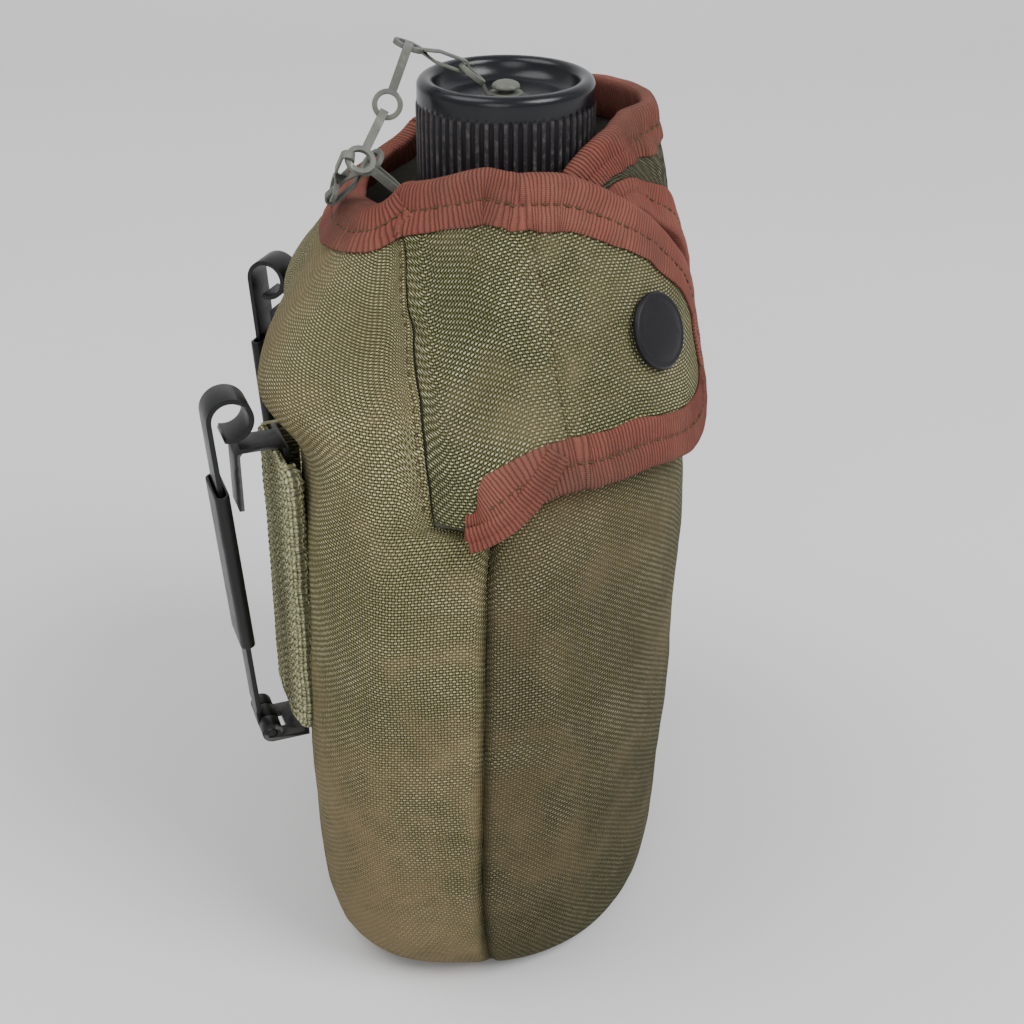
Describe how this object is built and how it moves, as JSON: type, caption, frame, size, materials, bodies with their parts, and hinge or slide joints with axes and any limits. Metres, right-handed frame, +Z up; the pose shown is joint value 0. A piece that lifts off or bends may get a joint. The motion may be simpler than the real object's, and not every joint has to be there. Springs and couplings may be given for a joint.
{
  "type": "canteen",
  "caption": "One-quart metal canteen with a screw cap on a chain, in a felt-lined canvas belt cover with two snap flaps and belt keepers.",
  "frame": {"origin": "centre of the base on the floor, under the cap's axis", "axes": "+Z up along the cap's axis, -Y towards the front with the snaps, +Y towards the belt keepers, X across the width"},
  "size_m": [0.1551, 0.1199, 0.2255],
  "materials": {
    "canvas": "olive cotton duck, worn",
    "felt": "grey-green wool felt",
    "edge_tape": "rust ribbed cotton tape, worn",
    "webbing": "pale olive cotton webbing",
    "black_steel": "black enamel, worn at the edges",
    "snap_metal": "plated steel, dulled",
    "bottle_metal": "brushed sheet steel",
    "chain_metal": "grey-green paint, chipped",
    "cap_plastic": "black moulded plastic, scuffed on the ribs",
    "gasket": "brown rubber"
  },
  "bodies": {
    "root": {"cover_back_panel": "canvas", "cover_front_panel": "canvas", "back_felt_lining": "felt", "front_felt_lining": "felt", "back_edge_tape": "edge_tape", "front_edge_tape": "edge_tape", "left_webbing_loop": "webbing", "right_webbing_loop": "webbing", "left_keeper_back_bar": "black_steel", "right_keeper_back_bar": "black_steel", "left_keeper_outer_bar": "black_steel", "right_keeper_outer_bar": "black_steel", "left_keeper_pin": "black_steel", "right_keeper_pin": "black_steel", "snap_studs": "snap_metal", "snap_stud_eyelets": "snap_metal", "bottle_lower_shell": "bottle_metal", "bottle_upper_shell": "bottle_metal", "bottle_neck": "bottle_metal", "chain_collar": "chain_metal"},
    "left_flap": {"left_flap": "canvas", "left_flap_lining": "felt", "left_flap_tape": "edge_tape", "left_snap_cap": "black_steel", "left_snap_socket": "snap_metal"},
    "right_flap": {"right_flap": "canvas", "right_flap_lining": "felt", "right_flap_tape": "edge_tape", "right_snap_cap": "black_steel", "right_snap_socket": "snap_metal"},
    "left_keeper_slide": {"left_keeper_slide": "black_steel"},
    "right_keeper_slide": {"right_keeper_slide": "black_steel"},
    "cap_gasket": {"cap_gasket": "gasket"},
    "chain_tab": {"chain_tab": "chain_metal"},
    "cap": {"cap_shell": "cap_plastic", "cap_rivet": "chain_metal", "cap_washer": "snap_metal"},
    "chain_link_1": {"chain_link_1": "chain_metal"},
    "chain_link_2": {"chain_link_2": "chain_metal"},
    "chain_link_3": {"chain_link_3": "chain_metal"},
    "chain_link_4": {"chain_link_4": "chain_metal"},
    "chain_link_5": {"chain_link_5": "chain_metal"},
    "chain_link_6": {"chain_link_6": "chain_metal"}
  },
  "joints": [
    {"name": "left_flap_hinge", "type": "hinge", "parent": "root", "child": "left_flap", "pos_m": [-0.05189, 0.02026, 0.1696], "axis": [-0.5957, -0.1011, -0.7968], "range_deg": [0, 110]},
    {"name": "right_flap_hinge", "type": "hinge", "parent": "root", "child": "right_flap", "pos_m": [0.05189, 0.02026, 0.1696], "axis": [-0.5957, 0.1011, 0.7968], "range_deg": [0, 110]},
    {"name": "left_keeper_slide_travel", "type": "slide", "parent": "root", "child": "left_keeper_slide", "axis": [0.0239, -0.0656, -0.9976], "range_m": [0, 0.018]},
    {"name": "right_keeper_slide_travel", "type": "slide", "parent": "root", "child": "right_keeper_slide", "axis": [-0.0239, -0.0656, -0.9976], "range_m": [0, 0.018]},
    {"name": "cap_lift_off", "type": "slide", "parent": "root", "child": "cap_gasket", "axis": [0, 0, 1], "range_m": [0, 0.05]},
    {"name": "cap_rise", "type": "slide", "parent": "cap_gasket", "child": "chain_tab", "axis": [0, 0, 1], "range_m": [0, 0.0081]},
    {"name": "cap_turn", "type": "hinge", "parent": "chain_tab", "child": "cap", "pos_m": [0, 0, 0.2], "axis": [0, 0, 1], "range_deg": [0, 576]},
    {"name": "link_1_swing", "type": "hinge", "parent": "chain_tab", "child": "chain_link_1", "pos_m": [-0.00159, 0.00989, 0.21846], "axis": [0.9904, 0.1339, -0.0336], "range_deg": [0, 80]},
    {"name": "link_2_swing", "type": "hinge", "parent": "chain_link_1", "child": "chain_link_2", "pos_m": [-0.00597, 0.02208, 0.22366], "axis": [0.0097, 0.9302, 0.3669], "range_deg": [0, 8]},
    {"name": "link_3_swing", "type": "hinge", "parent": "chain_link_2", "child": "chain_link_3", "pos_m": [-0.0114, 0.02805, 0.20964], "axis": [0.0506, 0.8808, 0.4708], "range_deg": [0, 24]},
    {"name": "link_4_swing", "type": "hinge", "parent": "chain_link_3", "child": "chain_link_4", "pos_m": [-0.02251, 0.03506, 0.20357], "axis": [0.7687, -0.0347, 0.6387], "range_deg": [0, 15]},
    {"name": "link_5_swing", "type": "hinge", "parent": "chain_link_4", "child": "chain_link_5", "pos_m": [-0.0136, 0.0401, 0.19128], "axis": [0.9524, 0.0958, 0.2893], "range_deg": [0, 15]},
    {"name": "link_6_swing", "type": "hinge", "parent": "chain_link_5", "child": "chain_link_6", "pos_m": [-0.01809, 0.02983, 0.19951], "axis": [0.0281, 0.7207, -0.6926], "range_deg": [0, 24]}
  ],
  "couplings": [
    {"joint": "cap_rise", "follows": "cap_turn", "m_per_rad": 0.00079577}
  ]
}
